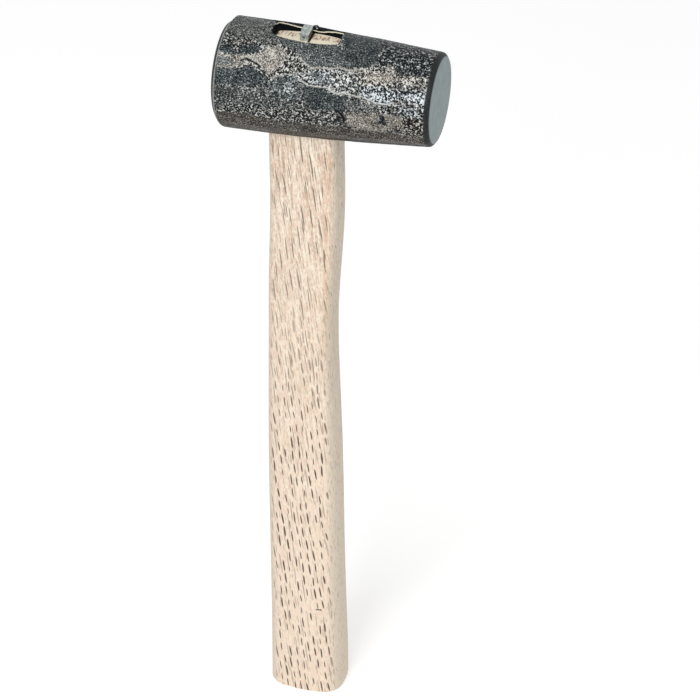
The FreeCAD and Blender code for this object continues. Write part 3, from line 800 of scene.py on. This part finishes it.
clouds = n.noise(object_coordinates(n, scale=(1.0, 1.0, 0.3)), 60.0, 2.0, 0.5)
base = n.ramp(streaks, [(0.30, (0.78, 0.60, 0.45)), (0.5, (0.88, 0.70, 0.55)),
                        (0.7, (0.95, 0.80, 0.65))])
base = n.mix(n.math("MULTIPLY", clouds, 0.35), base, (0.84, 0.62, 0.50))
base = n.mix(n.ramp(fibres, [(0.30, 0.85), (0.50, 0.0)]), base, (0.50, 0.35, 0.24))
base = n.mix(n.ramp(fibres, [(0.52, 0.0), (0.66, 0.9)]), base, (1.0, 0.95, 0.78))
base = n.mix(n.ramp(threads, [(0.30, 0.95), (0.45, 0.0)]), base, (0.36, 0.26, 0.18))
base = n.mix(n.ramp(threads, [(0.54, 0.0), (0.72, 0.90)]), base, (1.0, 0.96, 0.82))
base = n.mix(n.ramp(grit, [(0.32, 0.70), (0.50, 0.0)]), base, (0.58, 0.41, 0.31))
base = n.mix(n.ramp(grit, [(0.52, 0.0), (0.70, 0.60)]), base, (1.0, 0.90, 0.80))
reddish = n.math("MULTIPLY", near_box(n, axes, (10.0, -14.0, 190.0), (12.5, 0.0, 290.0), 1.5),
                 n.ramp(streaks, [(0.40, 0.0), (0.60, 0.7)]))
base = n.mix(reddish, base, (0.70, 0.44, 0.27))
paler = n.rise(z_axis, 0.30, 0.08, 0.80)
base = n.mix(paler, base, (1.0, 0.82, 0.655))
tint = n.noise(object_coordinates(n, scale=(1.0, 1.0, 0.4)), 1300.0, 2.0, 0.6)
base = n.mix(n.ramp(tint, [(0.36, 0.36), (0.48, 0.0)]), base, (0.88, 0.60, 0.48))
base = n.mix(n.ramp(tint, [(0.52, 0.0), (0.64, 0.42)]), base, (1.0, 0.95, 0.76))
# The sides are painted greyer than the front as shade.
base = n.mix(n.math("MULTIPLY", side_on, 0.50), base, (0.68, 0.615, 0.495))
wood = n.mix(n.math("MULTIPLY", pore, 0.97), base, (0.080, 0.052, 0.036))
# A short nick low on the front, and the handle's end in the eye: rings as brown ticks between
# pale edges, with painted shade in the gap by the wedge and in another gap at the short end.
nick = near_box(n, axes, (6.7, -14.0, 50.9), (8.9, -8.0, 51.2), 0.35)
ring_place = object_coordinates(n, scale=(1.0, 0.22, 0.3))
end_grain = n.ramp(n.noise(ring_place, 1150.0, 1.0, 0.5),
                   [(0.36, (0.36, 0.22, 0.17)), (0.46, (0.70, 0.55, 0.42)), (0.58, (0.92, 0.82, 0.66))])
pale_edge = n.math("MAXIMUM", near_box(n, axes, (-15.0, -7.0, 336.0), (15.0, 0.7, 337.0), 0.6),
                   near_box(n, axes, (-15.0, 4.8, 336.0), (15.0, 8.0, 337.0), 0.5))
end_grain = n.mix(n.math("MULTIPLY", pale_edge, 0.85), end_grain, (1.0, 0.93, 0.72))
gap_shade = n.math("MAXIMUM", near_box(n, axes, (1.0, -2.0, 336.0), (1.75, 6.2, 337.0), 0.2),
              near_box(n, axes, (-16.0, -6.0, 336.0), (-12.6, 8.0, 337.0), 0.4))
end_grain = n.mix(gap_shade, end_grain, (0.015, 0.012, 0.010))
wood = n.mix(nick, wood, (0.06, 0.045, 0.03))
wood = n.mix(n.math("GREATER_THAN", z_axis, END_GRAIN_ABOVE), wood, end_grain)
relief = n.math("SUBTRACT", n.math("MULTIPLY", fibres, 0.35), n.math("MAXIMUM", pore, nick))
bump = n.add("ShaderNodeBump", {"Strength": 0.6, "Distance": 0.0002, "Height": relief})
oak = n.finish(wood, 0.55, bump.outputs[0], specular=0.3)
handle = nodes["handle"]
handle.data.materials.clear()
handle.data.materials.append(oak)

# The wedge

WEDGE_LOW = (-2.3, -1.25, 316.35)
WEDGE_HIGH = (1.1, 5.15, 339.7)
WEDGE_HALF_WIDTH = 1.7
WEDGE_HALF_LENGTH = 3.2
BLADE_TOP = 336.0
BLADE_DEPTH = 19.65
DENT = Vector((-0.8, -1.25, 338.0))
shape = bmesh.new()
bmesh.ops.create_cube(shape, size=1.0)
for v in shape.verts:
    v.co = Vector((a + (b - a) * (c + 0.5) for a, b, c in zip(WEDGE_LOW, WEDGE_HIGH, v.co)))
bmesh.ops.bevel(shape, geom=shape.edges[:], offset=0.30, segments=2, profile=0.6, affect="EDGES")
bmesh.ops.bisect_plane(shape, geom=shape.verts[:] + shape.edges[:] + shape.faces[:],
                       plane_co=(0.0, 0.0, BLADE_TOP), plane_no=(0.0, 0.0, 1.0))
long_edges = [e for e in shape.edges
              if e.calc_length() > 0.5 and max(v.co.z for v in e.verts) > BLADE_TOP + 0.1]
bmesh.ops.subdivide_edges(shape, edges=long_edges, cuts=7, use_grid_fill=True)
middle = (Vector(WEDGE_LOW) + Vector(WEDGE_HIGH)) / 2
# Under the wood's end the blade thins down to its tip, as the split does.
for v in shape.verts:
    if v.co.z < BLADE_TOP + 0.05:
        v.co.x = middle.x + (v.co.x - middle.x) * (0.9 - 0.665 * (BLADE_TOP - v.co.z) / BLADE_DEPTH)
    top = max(0.0, min(1.0, (v.co.z - 336.2) / 3.4))
    sideways = (v.co.x - middle.x) / WEDGE_HALF_WIDTH
    along = (v.co.y - middle.y) / WEDGE_HALF_LENGTH
    dent = math.exp(-((v.co - DENT).length / 0.45) ** 2)
    v.co.z += top * (0.35 * along - 0.30 * sideways * (1 - along) / 2 + 0.12 * noise.noise(v.co / 0.9))
    v.co.x += top * (0.14 * sideways + 0.10 * noise.noise(v.co / 1.1 + Vector((7.0, 0.0, 0.0))))
    v.co.y += top * ((0.45 * along if along > 0 else 0.10 * along)
                     + 0.12 * noise.noise(v.co / 1.1 + Vector((0.0, 9.0, 0.0)))) + 0.3 * dent
    v.co *= MM
wedge_mesh = bpy.data.meshes.new("battered_wedge")
shape.to_mesh(wedge_mesh)
shape.free()
wedge_mesh.shade_smooth()
wedge_mesh.set_sharp_from_angle(angle=math.radians(35))
wedge = link(bpy.data.objects.new("battered_wedge", wedge_mesh))


def wedge_steel(name, dark, mid, light):
    """Battered steel in three tones, with painted shade on its side by the gap, a painted reflection
    of the wood and a painted highlight along the top edge on that side, and a dent on the front.
    """
    n = Nodes(bpy.data.materials.new(name))
    axes = own_axes(n)
    marks = n.noise(object_coordinates(n), 1100.0, 3.0, 0.6)
    colour = n.ramp(marks, [(0.32, dark), (0.5, mid), (0.68, light)])
    # Painted shade on the side by the gap.
    side = near_box(n, axes, (1.12, -1.0, 330.0), (3.0, 6.5, 338.75), 0.15)
    # A painted reflection of the wood across that side.
    strip = near_box(n, axes, (1.12, -1.0, 337.1), (3.0, 4.5, 337.75), 0.2)
    colour = n.mix(side, colour, (0.015, 0.014, 0.014))
    colour = n.mix(n.math("MULTIPLY", strip, 0.8), colour, (0.33, 0.27, 0.23))
    # A painted highlight along the top edge.
    edge = near_box(n, axes, (1.0, -1.5, 338.9), (1.6, 5.6, 340.5), 0.12)
    colour = n.mix(n.math("MULTIPLY", edge, 0.7), colour, light)
    dent = near_box(n, axes, (-1.15, -3.0, 337.8), (-0.45, -0.4, 338.1), 0.3)
    colour = n.mix(dent, colour, (0.03, 0.06, 0.05))
    bump = n.add("ShaderNodeBump", {"Strength": 0.5, "Distance": 0.0001, "Height": marks})
    return n.finish(colour, 0.45, bump.outputs[0], metallic=0.3, specular=0.3)


wedge_mesh.materials.append(wedge_steel("wedge_steel_dressed", (0.20, 0.24, 0.22), (0.40, 0.44, 0.42),
                                        (0.66, 0.70, 0.68)))
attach(wedge, "root")
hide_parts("wedge")

# The curled burr at the wedge's far corner: a thin strip along a hooked path, in mm.
BURR_PATH = [(0.85, 4.9, 339.35), (1.35, 5.25, 339.75), (1.9, 5.5, 340.05), (2.6, 5.7, 340.15),
             (3.25, 5.75, 339.85), (3.55, 5.7, 339.3), (3.35, 5.6, 338.8), (2.85, 5.5, 338.7),
             (2.6, 5.4, 339.0), (2.9, 5.3, 339.3)]
BURR_WIDTHS = [0.9, 0.8, 0.7, 0.7, 0.75, 0.8, 0.75, 0.7, 0.8, 0.5]
BURR_HALF = 0.17
path = [Vector(p) for p in BURR_PATH]
vertices = []
for i, (at, width) in enumerate(zip(path, BURR_WIDTHS)):
    along = (path[min(i + 1, len(path) - 1)] - path[max(i - 1, 0)]).normalized()
    sideways = Vector((0.0, 1.0, 0.0)) - along * along.y
    sideways.normalize()
    out = along.cross(sideways)
    for a, b in ((-1, -1), (1, -1), (1, 1), (-1, 1)):
        vertices.append((at + sideways * (a * width / 2) + out * (b * BURR_HALF)) * MM)
faces = [(3, 2, 1, 0), tuple(4 * (len(path) - 1) + k for k in range(4))]
faces += tube_faces(len(path), 4)
burr = mesh_object("wedge_burr", vertices, faces)
burr.modifiers.new("smooth", "SUBSURF").levels = 2
burr_mesh = shown_mesh(burr)
burr_mesh.shade_smooth()
burr_mesh.materials.clear()
burr_mesh.materials.append(wedge_steel("burr_dark", (0.008, 0.010, 0.010), (0.015, 0.018, 0.018),
                                       (0.05, 0.055, 0.05)))
burr_mesh.materials.append(wedge_steel("burr_bare_highlight", (0.55, 0.55, 0.52), (0.8, 0.8, 0.76), (0.9, 0.9, 0.88)))
# The curl's tip gets a near-white material: bare steel with a painted highlight.
for face in burr_mesh.polygons:
    if (face.center / MM - Vector(BURR_PATH[-2])).length < 0.55:
        face.material_index = 1
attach(burr, "root")

# The floor, the light and the camera

WHITE = (1.0, 1.0, 1.0, 1.0)


def seen_directly(n):
    """1 for rays that the camera sees straight, mirrored or through something, and 0 for others."""
    path = n.add("ShaderNodeLightPath").outputs
    seen = n.math("MAXIMUM", path["Is Camera Ray"], path["Is Glossy Ray"])
    return n.math("MAXIMUM", seen, path["Is Transmission Ray"])


bpy.ops.mesh.primitive_plane_add(size=8.0, location=(0.0, 0.0, -0.0001))
floor = bpy.context.object
floor.name = "floor"
n = Nodes(bpy.data.materials.new("pale_floor"))
matte = n.add("ShaderNodeBsdfDiffuse", {"Color": (0.88, 0.88, 0.88, 1.0)})
glow = n.add("ShaderNodeEmission", {"Color": WHITE, "Strength": n.math("MULTIPLY", seen_directly(n), 0.42)})
lit = n.add("ShaderNodeAddShader", {0: matte.outputs[0], 1: glow.outputs[0]})
n.add("ShaderNodeOutputMaterial", {"Surface": lit.outputs[0]})
floor.data.materials.append(n.owner)

n = Nodes(bpy.data.worlds.new("studio"))
ambient = n.add("ShaderNodeBackground", {"Color": WHITE, "Strength": 0.45})
white = n.add("ShaderNodeBackground", {"Color": WHITE, "Strength": 1.0})
choose = n.add("ShaderNodeMixShader", {0: seen_directly(n), 1: ambient.outputs[0], 2: white.outputs[0]})
n.add("ShaderNodeOutputWorld", {"Surface": choose.outputs[0]})
scene.world = n.owner


def direction(around, above):
    """The way from the object to a place round it, counted from the front, and above it."""
    az, el = math.radians(around), math.radians(above)
    return Vector((math.sin(az) * math.cos(el), -math.cos(az) * math.cos(el), math.sin(el)))


def lamp(name, around, above, distance, size, power):
    """A soft square lamp that looks at the middle of the object."""
    data = bpy.data.lights.new(name, "AREA")
    data.shape = "SQUARE"
    data.size = size
    data.energy = power
    obj = link(bpy.data.objects.new(name, data))
    back = direction(around, above)
    middle = Vector((0.0, 0.0, 0.2))
    obj.location = middle + back * distance
    obj.rotation_euler = back.to_track_quat("Z", "Y").to_euler()


lamp("key", -12.0, 42.0, 1.8, 0.9, 16.0)
lamp("fill", 60.0, 25.0, 2.0, 1.2, 6.0)

roll = math.radians(CAMERA_ROLL)
back = direction(CAMERA_AROUND, CAMERA_ABOVE)
right = (-back).cross(Vector((0.0, 0.0, 1.0))).normalized()
up = right.cross(-back)
right, up = right * math.cos(roll) + up * math.sin(roll), up * math.cos(roll) - right * math.sin(roll)
camera_data = bpy.data.cameras.new("camera")
camera_data.sensor_width = SENSOR
camera_data.lens = CAMERA_LENS
camera_data.clip_start = 0.05
camera_data.clip_end = 20.0
camera = link(bpy.data.objects.new("camera", camera_data))
turned = Matrix((right, up, back)).transposed().to_4x4()
turned.translation = (Vector(CAMERA_TARGET) + back * CAMERA_DISTANCE) * MM
camera.matrix_world = turned
scene.camera = camera

scene.view_settings.view_transform = "Standard"

bpy.context.view_layer.update()
